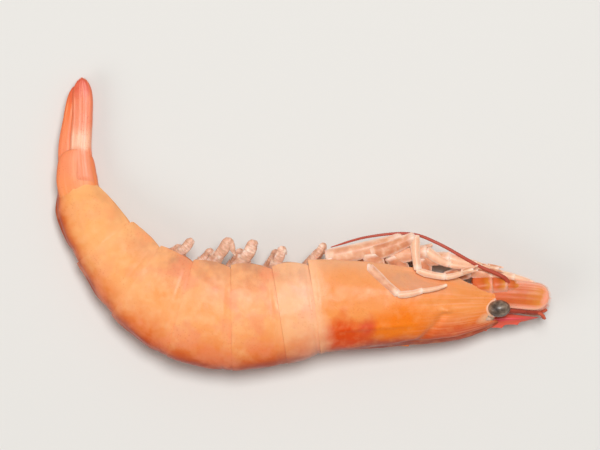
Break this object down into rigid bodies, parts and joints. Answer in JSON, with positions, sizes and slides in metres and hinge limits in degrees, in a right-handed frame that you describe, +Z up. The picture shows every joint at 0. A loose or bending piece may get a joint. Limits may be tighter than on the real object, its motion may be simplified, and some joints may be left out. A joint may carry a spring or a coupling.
{
  "type": "cooked whole prawn",
  "caption": "Whole cooked head-on prawn lying on its side, with a curled tail, overlapping shell plates, tucked legs, paddles and a folded tail fan.",
  "frame": {"origin": "on the surface it lies on, under the middle of its box", "axes": "+X towards the head, +Y towards the tail tip, with the back facing -Y, and +Z up through its left side"},
  "size_m": [0.124, 0.0732, 0.0191],
  "materials": {
    "shell": "cooked prawn shell, satin and damp, peach orange with deeper orange along the back",
    "legs": "thin cooked leg shell, pale pink, slightly see-through",
    "tail_fan": "thin ridged fan blades, salmon pink with redder tips",
    "eye": "cooked eye, dark grey with a milky haze"
  },
  "bodies": {
    "root": {"prawn": "shell"}
  },
  "joints": []
}
